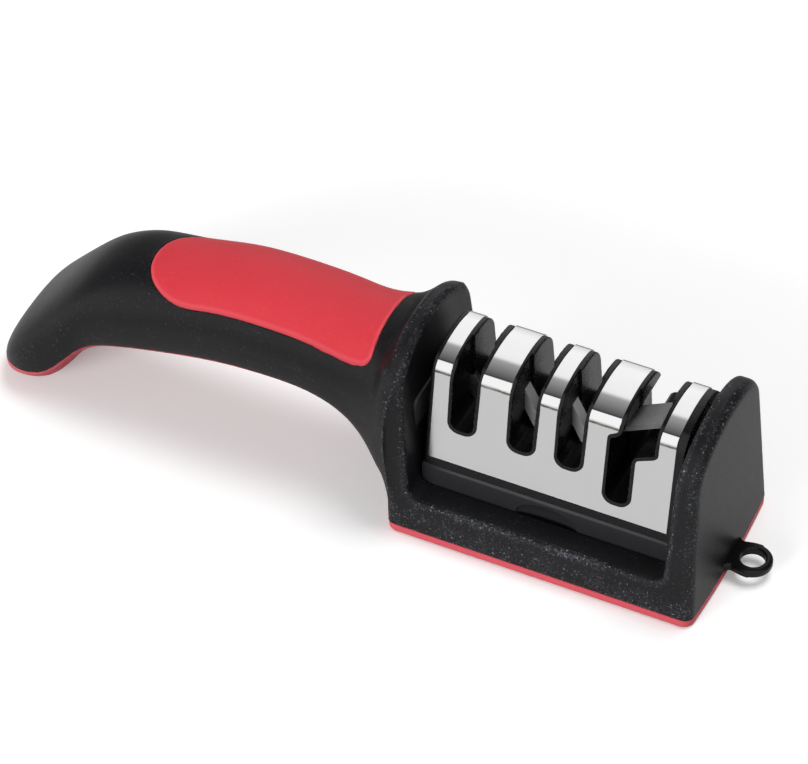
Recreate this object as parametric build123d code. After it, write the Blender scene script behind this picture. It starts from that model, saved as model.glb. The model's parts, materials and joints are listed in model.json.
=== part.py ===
from build123d import *
import math
import os

os.makedirs("parts", exist_ok=True)

# Pull-through knife sharpener. Millimetres, +Z up, +X from the handle's tail to the hanging ring.
# The origin is the middle of the underside of the whole length.

# Driving sizes of the whole body
handle_reach = 113.9
base_length = 81.3
base_width = 50.0
ring_reach = 11.2
collar_height = 52.8
end_block_height = 51.9
deck_height = 11.3
pad_height = 2.5
plate_height = 2.5

# Blocks at both ends of the base
collar_thickness = 5.5
pocket_span = 67.4
side_slope_share = 0.114
end_lean = 2.9
collar_lean = 4.4
collar_flare = 5.0
end_flare = 1.2
end_bulge = 0.9
crown_drop = 11.5
crown_fullness_share = 0.54
outer_edge_radius = 2.4
inner_edge_radius = 1.5
rail_corner_radius = 3.0
plan_corner_radius = 3.0
pad_edge_radius = 0.8

# Handle: its crest as a share of the collar's height, its half width as a share of the base's
# width, and the layers in it
handle_crest_share = 0.894
handle_width_share = 0.34
strip_foot_height = 6.6
inlay_depth = 1.3
core_skin = 5.2
core_wall = 2.4
core_boss_radius = 3.2
core_screw_length = 20.0

# Grip inlay, seen from above
inlay_length = 65.8
inlay_width_share = 0.794
inlay_flare = 1.2
inlay_end_length = 17.0
inlay_right_gap = 8.9
inlay_corner_radius = 2.6
inlay_end_hollow = 0.9
inlay_floor_share = 0.72

# Rigid frame and base plate inside the soft shell
frame_skin = 1.4
frame_side_skin = 2.7
frame_floor = 3.2
collar_post_thickness = 2.0
end_post_thickness = 2.6
end_post_gap = 1.8
post_drop = 17.0
post_ledge = 0.9
ring_hole_radius = 3.15
ring_rim = 1.85
neck_half_width = 6.3
plate_edge_radius = 0.5

# Lift-out cartridge
cartridge_clearance = 0.3
tray_height = 8.8
rail_width = 9.1
tray_wall = 3.4
tray_roof = 2.2
tray_edge_radius = 0.8
dimple_width = 16.4
dimple_height = 9.0
dimple_depth = 1.8
core_end_gap = 0.2
lip_height = 1.8
steel_margin = 1.4
steel_ledge = 1.1
steel_rise = 27.5
steel_draft = 3.9
steel_crown = 2.4
steel_shoulder_radius = 3.2
steel_thickness = 0.6
rim_width = 0.9
rim_proud = 0.3
wall_step = 0.6

# Posts and slots along the cartridge
post_1_width = 4.0
post_2_width = 7.3
post_3_width = 4.2
post_4_width = 7.8
post_5_width = 4.4
slot_width = 8.4
slot_taper = 0.4
slot_floor_height = 9.6
slot_corner_radius = 3.1
scissor_slot_width = 10.4
scissor_undercut = 2.75
scissor_undercut_height = 24.3
scissor_notch_width = 7.6
scissor_shelf_height = 19.4
scissor_floor_height = 3.8
scissor_corner_radius = 1.6

# Sharpening elements
rod_thickness = 3.2
rod_width = 2.9
rod_gap = 2.0
rod_upper_length = 10.0
rod_lower_length = 7.0
rod_cross_height = 12.7
rod_lean = 27.0
blade_thickness = 1.6
blade_width = 4.4
blade_upper_length = 7.0
blade_lower_length = 5.5
blade_cross_height = 12.0
blade_lean = 32.0
blade_gap = 0.4
scissor_plate_length = 16.0
scissor_plate_depth = 8.0
scissor_plate_thickness = 1.6
scissor_plate_tilt = 28.0
scissor_plate_height = 22.6
scissor_plate_shift = 0.8

# Screws
screw_radius = 1.25
screw_head_radius = 2.4
screw_head_height = 1.4
base_screw_inset_x = 9.0
base_screw_inset_y = 6.0
base_screw_length = 5.0
cartridge_screw_y = 8.0
cartridge_screw_length = 11.0

# One overrun serves all cuts
overrun = 5.0

# Sizes and places worked out from the sizes above
half_width = base_width / 2
block_top = max(collar_height, end_block_height) + overrun
handle_crest = handle_crest_share * collar_height
handle_half_width = handle_width_share * base_width
inlay_half_width = inlay_width_share * handle_half_width
tray_half_depth = half_width - rail_width
post_half_width = tray_half_depth - post_ledge
steel_half_depth = tray_half_depth - steel_ledge
steel_top_half_depth = steel_half_depth - steel_draft
overall_length = handle_reach + base_length + ring_reach
tail_x = -overall_length / 2
base_left = tail_x + handle_reach
base_right = base_left + base_length
plate_top = pad_height + plate_height
frame_top = plate_top + frame_floor
pocket_left = base_left + collar_thickness
pocket_right = pocket_left + pocket_span
pocket_middle = (pocket_left + pocket_right) / 2
tray_length = pocket_span - 2 * cartridge_clearance
tray_bottom = frame_top + cartridge_clearance
tray_top = tray_bottom + tray_height
steel_bottom = tray_top + lip_height
steel_top = steel_bottom + steel_rise + steel_crown
steel_length = (
    post_1_width + post_2_width + post_3_width + post_4_width + post_5_width
    + 3 * slot_width + scissor_slot_width
)
steel_left = pocket_left + steel_margin
steel_right = steel_left + steel_length
slot_1_x = steel_left + post_1_width + slot_width / 2
slot_2_x = slot_1_x + slot_width + post_2_width
slot_3_x = slot_2_x + slot_width + post_3_width
scissor_slot_left = slot_3_x + slot_width / 2 + post_4_width
scissor_slot_right = scissor_slot_left + scissor_slot_width

# Handle stations: share of the reach from the tail, then shares of the crest height for the top
# and the underside, the share of the greatest half width, and the red strip's height above the
# underside as a share of its height at the foot
station_shares = [
    (0.000, 0.154, 0.010, 0.62, 0.60),
    (0.012, 0.209, 0.003, 0.79, 0.86),
    (0.036, 0.307, 0.000, 1.03, 1.00),
    (0.079, 0.431, 0.000, 1.16, 1.00),
    (0.131, 0.576, 0.025, 1.14, 1.00),
    (0.175, 0.686, 0.147, 1.08, 0.86),
    (0.228, 0.790, 0.293, 1.01, 0.66),
    (0.299, 0.876, 0.364, 0.99, 0.62),
    (0.412, 0.936, 0.422, 0.95, 0.66),
    (0.544, 1.003, 0.482, 0.95, 0.68),
    (0.676, 1.018, 0.505, 0.95, 0.66),
    (0.781, 1.009, 0.481, 0.95, 0.62),
    (0.861, 0.999, 0.390, 0.98, 0.55),
    (0.922, 1.018, 0.263, 1.13, 0.55),
    (0.970, 1.035, 0.132, 1.33, 0.55),
    (1.005, 1.045, 0.058, 1.46, 0.55),
]
top_fullness_share = 0.62
underside_fullness_share = 0.78
strip_end_share = 0.865

# Stations, counted from the tail, where the core and its hollow start and where its screws are
core_start_index = 3
hollow_start_index = 5
screw_station_indexes = [7, 10, 12]


def across(face_or_profile, length, middle):
    """A sketch in the XZ plane drawn out equally along Y about the given middle."""
    return Pos(0, middle, 0) * extrude(face_or_profile, length / 2, both=True)


def block_between(low, high):
    """An upright box from its lowest to its highest corner."""
    size = [b - a for a, b in zip(low, high)]
    return Pos(*low) * Box(*size, align=(Align.MIN, Align.MIN, Align.MIN))


def base_outline(inset):
    """The base seen from above, its end bowed outwards, drawn in by an inset."""
    left = base_left + inset
    right = base_right - inset
    side = half_width - inset
    outline = Polyline((right, side), (left, side), (left, -side), (right, -side))
    bow = ThreePointArc((right, -side), (right + end_bulge, 0), (right, side))
    face = make_face([*outline.edges(), bow])
    return fillet(face.vertices(), plan_corner_radius)


# The soft shell: blocks and rails

def shell_profile(x, height):
    """Cross-section of the blocks: drafted sides running smoothly into a rounded top."""
    low = half_width
    shoulder = height - crown_drop
    high = half_width - side_slope_share * (shoulder - pad_height)
    pull = crown_fullness_share * crown_drop
    edges = [
        Line((low, pad_height), (high, shoulder)),
        Line((-high, shoulder), (-low, pad_height)),
        Line((-low, pad_height), (low, pad_height)),
    ]
    for side in (1, -1):
        edges.append(Bezier(
            (side * high, shoulder),
            (side * (high - side_slope_share * pull), shoulder + pull),
            (side * crown_fullness_share * high, height),
            (0, height),
        ))
    return Plane.YZ.offset(x) * make_face(edges)


def end_barrel():
    """The bowed and leaning outer face of the end block, as the side of a very large cylinder."""
    radius = (half_width ** 2 + end_bulge ** 2) / (2 * end_bulge)
    lean = math.degrees(math.atan(end_lean / end_block_height))
    barrel = Cylinder(radius, radius, align=(Align.CENTER, Align.CENTER, Align.CENTER))
    barrel = Pos(-radius, 0, 0) * Rot(0, 0, 180) * barrel
    return Pos(base_right + end_bulge, 0, pad_height) * Rot(0, -lean, 0) * barrel


def inner_loop(hull):
    """The closed chain of edges round the cartridge's window."""
    inside = [
        f.edges()
        for f in hull.faces()
        if f.bounding_box().min.X > pocket_left - collar_flare - plate_edge_radius
        and f.bounding_box().max.X < pocket_right + end_flare + plate_edge_radius
    ]
    everything = [e for edges in inside for e in edges]
    return [e for e in everything if sum(e.is_same(other) for other in everything) == 1]


def make_blocks():
    """Collar, rails and end block in one hull, before the handle joins it."""
    start = base_left - overrun
    finish = base_right + overrun
    collar_side = extrude(shell_profile(start, collar_height), pocket_middle - start)
    end_side = extrude(shell_profile(pocket_middle, end_block_height), finish - pocket_middle)
    hull = collar_side + end_side
    hull = hull & end_barrel()
    lean_side = Polyline(
        (base_left, pad_height - overrun),
        (base_left, pad_height),
        (base_left - collar_lean, block_top),
        (start - overrun, block_top),
        (start - overrun, pad_height - overrun),
        close=True,
    )
    hull = hull - across(Plane.XZ * make_face(lean_side), 2 * base_width, 0)
    window = Polyline(
        (pocket_left - collar_flare, block_top),
        (pocket_left, deck_height),
        (pocket_right, deck_height),
        (pocket_right + end_flare, block_top),
        close=True,
    )
    window = make_face(window)
    window = fillet(window.vertices().sort_by(Axis.Y)[:2], rail_corner_radius)
    hull = hull - across(Plane.XZ * window, 2 * base_width, 0)
    hull = fillet(inner_loop(hull), inner_edge_radius)
    end_faces = hull.faces().sort_by(Axis.X)
    rims = [e for f in (end_faces[0], end_faces[-1]) for e in f.edges()]
    rims = [e for e in rims if e.center().Z > pad_height + plate_height]
    return fillet(rims, outer_edge_radius)


def station_section(station, inset):
    """One closed section of the handle, drawn in by an inset and fuller underneath."""
    reach_share, top_share, underside_share, width_share, seam_share = station
    x = tail_x + reach_share * handle_reach
    top = top_share * handle_crest - inset
    underside = underside_share * handle_crest + inset
    width = width_share * handle_half_width - inset
    middle = (top + underside) / 2
    rise = (top - underside) / 2

    def quarter(side, up, fullness):
        return Bezier(
            (x, side * width, middle),
            (x, side * width, middle + up * fullness * rise),
            (x, side * fullness * width, middle + up * rise),
            (x, 0, middle + up * rise),
        )

    edges = [
        quarter(1, 1, top_fullness_share),
        quarter(-1, 1, top_fullness_share),
        quarter(-1, -1, underside_fullness_share),
        quarter(1, -1, underside_fullness_share),
    ]
    return make_face(edges)


def handle_form(first, last, inset):
    """A smooth body through the handle's stations, drawn in by an inset."""
    return loft([station_section(s, inset) for s in station_shares[first:last]])


def station_middle(index):
    """Place of the middle of a handle station on the plane of symmetry."""
    reach_share, top_share, underside_share, width_share, seam_share = station_shares[index]
    return tail_x + reach_share * handle_reach, (top_share + underside_share) / 2 * handle_crest


def strip_region():
    """Everything below the seam that runs along the handle's underside."""
    seam = []
    for reach_share, top_share, underside_share, width_share, seam_share in station_shares:
        if reach_share <= strip_end_share:
            height = underside_share * handle_crest + seam_share * strip_foot_height
            seam.append((tail_x + reach_share * handle_reach, height))
    tail_side = (tail_x - overrun, seam[0][1])
    far_side = (tail_x + strip_end_share * handle_reach, seam[-1][1])
    edges = [
        Line(tail_side, seam[0]),
        Spline(*seam),
        Line(seam[-1], far_side),
        Line(far_side, (far_side[0], -overrun)),
        Line((far_side[0], -overrun), (tail_side[0], -overrun)),
        Line((tail_side[0], -overrun), tail_side),
    ]
    return across(Plane.XZ * make_face(edges), base_width, 0)


def inlay_region():
    """The grip inlay's outline seen from above, drawn up through the top of the handle."""
    right = base_left - inlay_right_gap
    left = right - inlay_length
    bend = left + inlay_end_length
    flare_side = inlay_half_width + inlay_flare
    nose = []
    for side in (1, -1):
        tip = (left, 0)
        tip_pull = (left, side * top_fullness_share * inlay_half_width)
        bend_pull = (bend - top_fullness_share * inlay_end_length, side * inlay_half_width)
        nose.append(Bezier(tip, tip_pull, bend_pull, (bend, side * inlay_half_width)))
    middle = (bend + right) / 2
    near = inlay_half_width
    sides = [
        Spline((bend, side * near), (middle, side * near), (right, side * flare_side))
        for side in (1, -1)
    ]
    end = ThreePointArc((right, flare_side), (right - inlay_end_hollow, 0), (right, -flare_side))
    face = make_face([*nose, *sides, end])
    corners = face.vertices().sort_by(Axis.X)[-2:]
    face = fillet(corners, inlay_corner_radius)
    return extrude(Pos(0, 0, inlay_floor_share * handle_crest) * face, handle_crest)


# Base plate, frame and pads

def screw(length):
    """A screw standing on its head, its shank pointing up from z = 0."""
    shank = Cylinder(screw_radius, length, align=(Align.CENTER, Align.CENTER, Align.MIN))
    head = Cylinder(screw_head_radius, screw_head_height, align=(Align.CENTER, Align.CENTER, Align.MAX))
    return shank + head


def base_screw_places():
    xs = (base_left + base_screw_inset_x, base_right - base_screw_inset_x)
    ys = (-half_width + base_screw_inset_y, half_width - base_screw_inset_y)
    return [(x, y) for x in xs for y in ys]


def make_base_screws():
    height = pad_height + screw_head_height
    return [Pos(x, y, height) * screw(base_screw_length) for x, y in base_screw_places()]


def make_base_pad():
    """Red non-slip pad under the base."""
    pad = extrude(base_outline(0), pad_height)
    return fillet(pad.faces().sort_by(Axis.Z)[0].edges(), pad_edge_radius)


def make_base_plate(screws):
    """Rigid plate under the frame, with the hanging ring moulded on its end."""
    plate = extrude(Pos(0, 0, pad_height) * base_outline(frame_skin), plate_height)
    ring_x = base_right + ring_reach - ring_hole_radius - ring_rim
    ring_radius = ring_hole_radius + ring_rim
    root = base_right - frame_skin
    neck = Polyline(
        (root, neck_half_width),
        (base_right + end_bulge, neck_half_width),
        (ring_x, ring_radius),
        (ring_x, -ring_radius),
        (base_right + end_bulge, -neck_half_width),
        (root, -neck_half_width),
        close=True,
    )
    tongue = make_face(neck) + Pos(ring_x, 0) * Circle(ring_radius)
    tongue = extrude(Pos(0, 0, pad_height) * tongue, plate_height)
    outer_rim = [e for e in tongue.edges() if e.center().X > base_right + end_bulge]
    outer_rim = [e for e in outer_rim if e.length > 2 * plate_height]
    tongue = fillet(outer_rim, plate_edge_radius)
    plate = plate + tongue
    hole = Cylinder(ring_hole_radius, plate_height, align=(Align.CENTER, Align.CENTER, Align.MIN))
    plate = plate - Pos(ring_x, 0, pad_height) * hole
    for item in screws:
        plate = plate - item
    return plate


def make_base_frame(screws):
    """Rigid chassis: the pocket's floor with a post standing in each block."""
    left = base_left + frame_skin
    side = half_width - frame_side_skin
    floor = block_between((left, -side, plate_top), (base_right - frame_skin, side, frame_top))
    collar_post = block_between(
        (left, -post_half_width, plate_top),
        (left + collar_post_thickness, post_half_width, collar_height - post_drop),
    )
    end_left = pocket_right + end_post_gap
    end_post = block_between(
        (end_left, -post_half_width, plate_top),
        (end_left + end_post_thickness, post_half_width, end_block_height - post_drop),
    )
    frame = floor + collar_post + end_post
    corners = [e for e in frame.edges().filter_by(Axis.X) if e.center().Z > deck_height]
    frame = fillet(corners, rail_corner_radius)
    for item in screws:
        frame = frame - item
    return frame


# Rigid core of the handle

def make_handle_core():
    """Hollow core with a boss for each screw, before it is split into its two halves."""
    core = handle_form(core_start_index, None, core_skin)
    end_station = station_shares[-1]
    end_face = station_section(end_station, core_skin)
    seat_gap = base_left + frame_skin - (tail_x + end_station[0] * handle_reach)
    core = core + extrude(end_face, amount=seat_gap, dir=(1, 0, 0))
    core = core - strip_region()
    hollow = handle_form(hollow_start_index, -1, core_skin + core_wall)
    shell = core - hollow
    for x, z in core_screw_places():
        boss = Pos(x, 0, z) * Rot(90, 0, 0) * Cylinder(core_boss_radius, base_width)
        shell = shell + (boss & core)
    return core, shell


def core_screw_places():
    return [station_middle(index) for index in screw_station_indexes]


def make_core_screws():
    half = core_screw_length / 2
    item = Rot(-90, 0, 0) * screw(core_screw_length)
    return [Pos(x, -half, z) * item for x, z in core_screw_places()]


def core_half(shell, screws, side):
    """The front half for side -1 and the back half for side 1, with its screw holes."""
    low = (tail_x, min(0, side * base_width), 0)
    high = (pocket_left, max(0, side * base_width), collar_height)
    half = shell & block_between(low, high)
    for item in screws:
        half = half - item
    for x, z in core_screw_places():
        head_well = Cylinder(screw_head_radius, base_width, align=(Align.CENTER, Align.CENTER, Align.MIN))
        well_start = core_screw_length / 2 + screw_head_height
        half = half - Pos(x, -well_start, z) * Rot(90, 0, 0) * head_well
    return half


# Cartridge

def cover_profile(inset, low):
    """Cross-section of the cartridge from a low height up: drafted sides and a crowned top."""
    draft = (steel_half_depth - steel_top_half_depth) / steel_rise
    low_half = steel_half_depth + draft * (steel_bottom - low) - inset
    high_half = steel_top_half_depth - inset
    shoulder = steel_bottom + steel_rise - inset
    edges = [
        Line((low_half, low), (high_half, shoulder)),
        ThreePointArc((high_half, shoulder), (0, steel_top - inset), (-high_half, shoulder)),
        Line((-high_half, shoulder), (-low_half, low)),
        Line((-low_half, low), (low_half, low)),
    ]
    face = make_face(edges)
    corners = face.vertices().sort_by(Axis.Y)[-2:]
    return fillet(corners, steel_shoulder_radius - inset)


def cover_prism(inset, low, left, right):
    return extrude(Plane.YZ.offset(left) * cover_profile(inset, low), right - left)


def slot_window(x):
    """One round-cornered slot seen from the front, open at the top."""
    floor = steel_bottom + slot_floor_height
    top = steel_top + overrun
    wide = slot_width / 2
    narrow = wide - slot_taper
    face = make_face(Polyline(
        (x - wide, top),
        (x - narrow, floor),
        (x + narrow, floor),
        (x + wide, top),
        close=True,
    ))
    return fillet(face.vertices().sort_by(Axis.Y)[:2], slot_corner_radius)


def scissor_window():
    """The stepped slot for scissors: wide above, with a narrow notch below on the left."""
    top = steel_top + overrun
    undercut = steel_bottom + scissor_undercut_height
    shelf = steel_bottom + scissor_shelf_height
    floor = steel_bottom + scissor_floor_height
    notch_left = scissor_slot_left - scissor_undercut
    notch_right = notch_left + scissor_notch_width
    step = scissor_corner_radius
    face = make_face(Polyline(
        (scissor_slot_left, top),
        (scissor_slot_left, undercut + step / 2),
        (notch_left, undercut - step / 2),
        (notch_left, floor),
        (notch_right, floor),
        (notch_right, shelf - step / 2),
        (scissor_slot_right, shelf + step),
        (scissor_slot_right, top),
        close=True,
    ))
    low = face.vertices().sort_by(Axis.Y)[:2]
    face = fillet(low, slot_corner_radius)
    steps = [v for v in face.vertices() if floor + slot_corner_radius + step < v.Y < top - step]
    return fillet(steps, scissor_corner_radius)


def windows(inset):
    faces = [slot_window(slot_1_x), slot_window(slot_2_x), slot_window(slot_3_x), scissor_window()]
    if inset:
        faces = [offset(f, -inset, kind=Kind.INTERSECTION) for f in faces]
    return faces


def cut_windows(solid, inset, middle):
    for face in windows(inset):
        solid = solid - across(Plane.XZ * face, base_width, middle)
    return solid


def leaning_bar(x, y, height, size, upper, lower, lean):
    """A flat bar through a slot's middle line, leaning about Y; a positive lean tips it to +X."""
    width, thickness = size
    bar = Pos(0, 0, (upper - lower) / 2) * Box(width, thickness, upper + lower)
    return Pos(x, y, steel_bottom + height) * Rot(0, lean, 0) * bar


def make_elements():
    """The crossed pairs of the first three stages and the plate of the scissor stage."""
    blade_y = (blade_gap + blade_thickness) / 2
    rod_y = (rod_gap + rod_thickness) / 2
    blade = (blade_width, blade_thickness)
    rod = (rod_width, rod_thickness)
    parts = {}
    for side, name in ((-1, "front"), (1, "back")):
        parts["carbide_blade_" + name] = leaning_bar(
            slot_1_x, side * blade_y, blade_cross_height, blade,
            blade_upper_length, blade_lower_length, side * blade_lean,
        )
        for stage, x in (("diamond_rod_", slot_2_x), ("ceramic_rod_", slot_3_x)):
            parts[stage + name] = leaning_bar(
                x, side * rod_y, rod_cross_height, rod,
                rod_upper_length, rod_lower_length, side * rod_lean,
            )
    plate = Box(scissor_plate_length, scissor_plate_depth, scissor_plate_thickness)
    plate_x = (scissor_slot_left - scissor_undercut + scissor_slot_right) / 2 + scissor_plate_shift
    place = Pos(plate_x, 0, steel_bottom + scissor_plate_height)
    parts["scissor_plate"] = place * Rot(0, -scissor_plate_tilt, 0) * plate
    return parts


def make_cartridge_screws():
    post_2_x = slot_1_x + (slot_width + post_2_width) / 2
    post_4_x = slot_3_x + (slot_width + post_4_width - scissor_undercut) / 2
    start = tray_top - tray_roof
    return [
        Pos(x, y, start) * screw(cartridge_screw_length)
        for x in (post_2_x, post_4_x)
        for y in (-cartridge_screw_y, cartridge_screw_y)
    ]


def make_steel_zone():
    """The space of the steel cover, open outwards: everything outside the core's recessed skin."""
    sheet = make_face(Polyline(
        (steel_left, steel_bottom),
        (steel_right, steel_bottom),
        (steel_right, steel_top + overrun),
        (steel_left, steel_top + overrun),
        close=True,
    ))
    zone = across(Plane.XZ * sheet, base_width, 0)
    zone = cut_windows(zone, 0, 0)
    return zone - cover_prism(steel_thickness, steel_bottom - overrun, steel_left - overrun, steel_right + overrun)


def make_cartridge_core(zone, side, others):
    """The front half for side -1 and the back half for side 1."""
    left = pocket_left + cartridge_clearance + core_end_gap
    right = pocket_right - cartridge_clearance - core_end_gap
    low = (left, min(0, side * base_width), tray_top)
    high = (right, max(0, side * base_width), steel_top + overrun)
    core = cover_prism(-rim_proud, tray_top, left, right) & block_between(low, high)
    core = core - zone
    inset = rim_width if side < 0 else rim_width + wall_step
    core = cut_windows(core, inset, 0)
    for item in others:
        core = core - item
    return core


def make_cartridge_tray(screws):
    """Lower tray of the cartridge, with a thumb hollow in the front and the back bar."""
    left = pocket_left + cartridge_clearance
    right = left + tray_length
    tray = block_between((left, -tray_half_depth, tray_bottom), (right, tray_half_depth, tray_top))
    tray = fillet(tray.edges().filter_by(Axis.X).sort_by(Axis.Z)[-2:], tray_edge_radius)
    cavity = block_between(
        (left + tray_wall, -tray_half_depth + tray_wall, tray_bottom),
        (right - tray_wall, tray_half_depth - tray_wall, tray_top - tray_roof),
    )
    tray = tray - cavity
    hollow = scale(Sphere(1), by=(dimple_width / 2, dimple_depth, dimple_height / 2))
    for side in (-1, 1):
        tray = tray - Pos(pocket_middle, side * tray_half_depth, deck_height) * hollow
    for item in screws:
        tray = tray - item
    return tray


# All pieces

base_screws = make_base_screws()
base_plate = make_base_plate(base_screws)
base_frame = make_base_frame(base_screws)
core_solid, core_shell = make_handle_core()
core_screws = make_core_screws()
handle = handle_form(0, None, 0)
ground = block_between((tail_x - overrun, -base_width, -base_width), (-tail_x, base_width, 0))
strip = (handle & strip_region()) - ground
inlay = (handle - handle_form(hollow_start_index, None, inlay_depth)) & inlay_region()
pocket = block_between(
    (pocket_left, -tray_half_depth - cartridge_clearance, frame_top),
    (pocket_right, tray_half_depth + cartridge_clearance, block_top),
)
shell = make_blocks() + handle
buried = [inlay, base_plate, base_frame, core_solid, *base_screws, *core_screws]
for item in (ground, strip_region(), pocket, *buried):
    shell = shell - item

elements = make_elements()
cartridge_screws = make_cartridge_screws()
zone = make_steel_zone()
held = [*elements.values(), *cartridge_screws]
cover = zone & cover_prism(0, steel_bottom, steel_left, steel_right)

nodes = {
    "soft_shell": shell,
    "grip_inlay": inlay,
    "underside_strip": strip,
    "handle_core_front": core_half(core_shell, core_screws, -1),
    "handle_core_back": core_half(core_shell, core_screws, 1),
    "handle_screws": Compound(core_screws),
    "base_frame": base_frame,
    "base_plate": base_plate,
    "base_screws": Compound(base_screws),
    "base_pad": make_base_pad(),
    "cartridge_tray": make_cartridge_tray(cartridge_screws),
    "cartridge_core_front": make_cartridge_core(zone, -1, held),
    "cartridge_core_back": make_cartridge_core(zone, 1, held),
    "steel_cover": cover,
    "cartridge_screws": Compound(cartridge_screws),
    **elements,
}

for name, piece in nodes.items():
    export_step(piece, os.path.join("parts", name + ".step"))
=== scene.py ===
import json
import math
import bpy
import numpy as np
from mathutils import Matrix, Vector
from mathutils.geometry import delaunay_2d_cdt


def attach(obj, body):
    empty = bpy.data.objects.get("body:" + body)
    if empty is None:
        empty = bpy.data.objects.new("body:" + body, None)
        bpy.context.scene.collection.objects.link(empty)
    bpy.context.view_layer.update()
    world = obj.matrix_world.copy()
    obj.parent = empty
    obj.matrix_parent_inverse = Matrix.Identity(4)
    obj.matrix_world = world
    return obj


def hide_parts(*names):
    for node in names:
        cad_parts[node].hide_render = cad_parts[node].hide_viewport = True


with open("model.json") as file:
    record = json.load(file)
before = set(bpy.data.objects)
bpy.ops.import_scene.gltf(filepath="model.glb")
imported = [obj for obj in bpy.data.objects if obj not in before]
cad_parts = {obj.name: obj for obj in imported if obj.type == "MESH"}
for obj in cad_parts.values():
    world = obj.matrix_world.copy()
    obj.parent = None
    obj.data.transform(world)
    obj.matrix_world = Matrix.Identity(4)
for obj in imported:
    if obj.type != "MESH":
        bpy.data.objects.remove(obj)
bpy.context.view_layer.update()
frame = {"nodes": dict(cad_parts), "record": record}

MM = 0.001

# Sizes in millimetres: those of the solids as in the part's source, and this script's own gaps,
# blends and edges
reach = 113.9
base_length = 81.3
base_width = 50.0
ring_reach = 11.2
collar_height = 52.8
end_height = 51.9
deck = 11.3
pad_top = 2.5
plate_thickness = 2.5
overrun = 5.0

# Blocks at both ends of the base
collar_thickness = 5.5
pocket_span = 67.4
rail_width = 9.1
window_reach = 4.5
side_slope = 0.114
end_lean = 2.9
collar_lean = 4.4
collar_flare = 5.0
end_flare = 1.2
end_bulge = 0.9
crown_drop = 11.5
crown_power = 2.044
outer_edge = 2.4
inner_edge = 1.5
rail_corner = 3.0
lower_edge = 0.35
pocket_edge = 0.25

# Handle and grip inlay
crest = 47.2
handle_half = 17.0
top_power = 2.23
under_power = 2.98
cap_inset = 1.0
cap_lean = 0.075
tail_edge = 1.0
foot_edge = 0.6
strip_foot = 6.6
strip_end = 0.865
strip_gap = 0.08
strip_edge = 0.3
seam_edge = 0.22
core_skin = 5.2
core_tail_gap = 8.9
core_lap = 1.5
inlay_gap = 8.9
inlay_length = 65.8
inlay_half = 13.5
inlay_flare = 1.2
inlay_nose = 17.0
inlay_hollow = 0.9
inlay_corner = 2.6
inlay_depth = 1.3
inlay_floor = 34.0
inlay_seam = 0.1
inlay_edge = 0.6
pit_edge = 0.3

# Blend between the handle and the collar: it widens with height and narrows again near the top
blend_low = 2.2
blend_gain = 3.4
blend_rise = (24, 42)
blend_loss = 0.85
blend_fall = (45, 51)
blend_slope_share = 0.3
blend_edge = 0.3

# Rigid frame, bottom plate and hanging ring
frame_skin = 1.4
frame_side_skin = 2.7
frame_floor = 3.2
collar_post_reach = 1.1
collar_post_thickness = 2.0
end_post_thickness = 2.6
end_post_gap = 1.8
post_drop = 17.0
post_ledge = 0.9
hidden_gap = 0.05
frame_gap = 0.02
plate_corner = 3.0
plate_edge = 0.3
ring_hole = 3.15
ring_rim = 1.85
ring_inset = 0.01
ring_edge = 0.85
hole_edge = 0.45
neck_half = 4.5
neck_flare = 0.35
neck_flare_length = 3
neck_reach = 4.0
neck_lap = 0.6
neck_blend = 1.6

# Cartridge
cartridge_gap = 0.3
tray_height = 8.8
lip_height = 1.8
steel_rise = 27.5
steel_crown = 2.4
steel_ledge = 1.1
steel_draft = 3.9
steel_margin = 1.4
steel_thickness = 0.6
steel_gap = 0.03
fold_radius = 3.2
fold_height = 44.9
chamfer = 0.09
core_gap = 0.5
rim_proud = 0.3
rim_width = 0.9
rim_edge = 0.35
slot_edge = 0.34
recess_edge = 0.08
wall_step = 0.6
split_gap = 0.02
split_edge = 0.12

# Posts and slots along the cartridge
post_widths = [4.0, 7.3, 4.2, 7.8, 4.4]
slot_width = 8.4
slot_taper = 0.4
slot_floor_rise = 9.6
slot_corner = 3.1
scissor_width = 10.4
scissor_undercut = 2.75
scissor_undercut_rise = 24.3
scissor_notch_width = 7.6
scissor_shelf_rise = 19.4
scissor_floor_rise = 3.8
scissor_corner = 1.6
scissor_lean = 0.8

# Sizes and places worked out from the sizes above
half_width = base_width / 2
tray_half = half_width - rail_width
pocket_half = tray_half + cartridge_gap
post_half = tray_half - post_ledge
steel_low_half = tray_half - steel_ledge
steel_high_half = steel_low_half - steel_draft
tail_x = -(reach + base_length + ring_reach) / 2
base_left = tail_x + reach
base_right = base_left + base_length
plate_top = pad_top + plate_thickness
frame_top = plate_top + frame_floor
frame_left = base_left + frame_skin
frame_right = base_right - frame_skin
frame_half = half_width - frame_side_skin
pocket_left = base_left + collar_thickness
pocket_right = pocket_left + pocket_span
pocket_middle = (pocket_left + pocket_right) / 2
end_post_left = pocket_right + end_post_gap
block_top = collar_height + overrun
ring_x = base_right + ring_reach - ring_hole - ring_rim
inlay_right = base_left - inlay_gap
inlay_left = inlay_right - inlay_length
tray_top = frame_top + cartridge_gap + tray_height
steel_bottom = tray_top + lip_height
steel_shoulder = steel_bottom + steel_rise
steel_top = steel_shoulder + steel_crown
crown_radius = (steel_high_half ** 2 + steel_crown ** 2) / (2 * steel_crown)
steel_left = pocket_left + steel_margin
steel_right = steel_left + sum(post_widths) + 3 * slot_width + scissor_width
slot_places = []
scissor_left = steel_left
for post_width in post_widths[:3]:
    slot_places.append(scissor_left + post_width + slot_width / 2)
    scissor_left += post_width + slot_width
scissor_left += post_widths[3]

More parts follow.
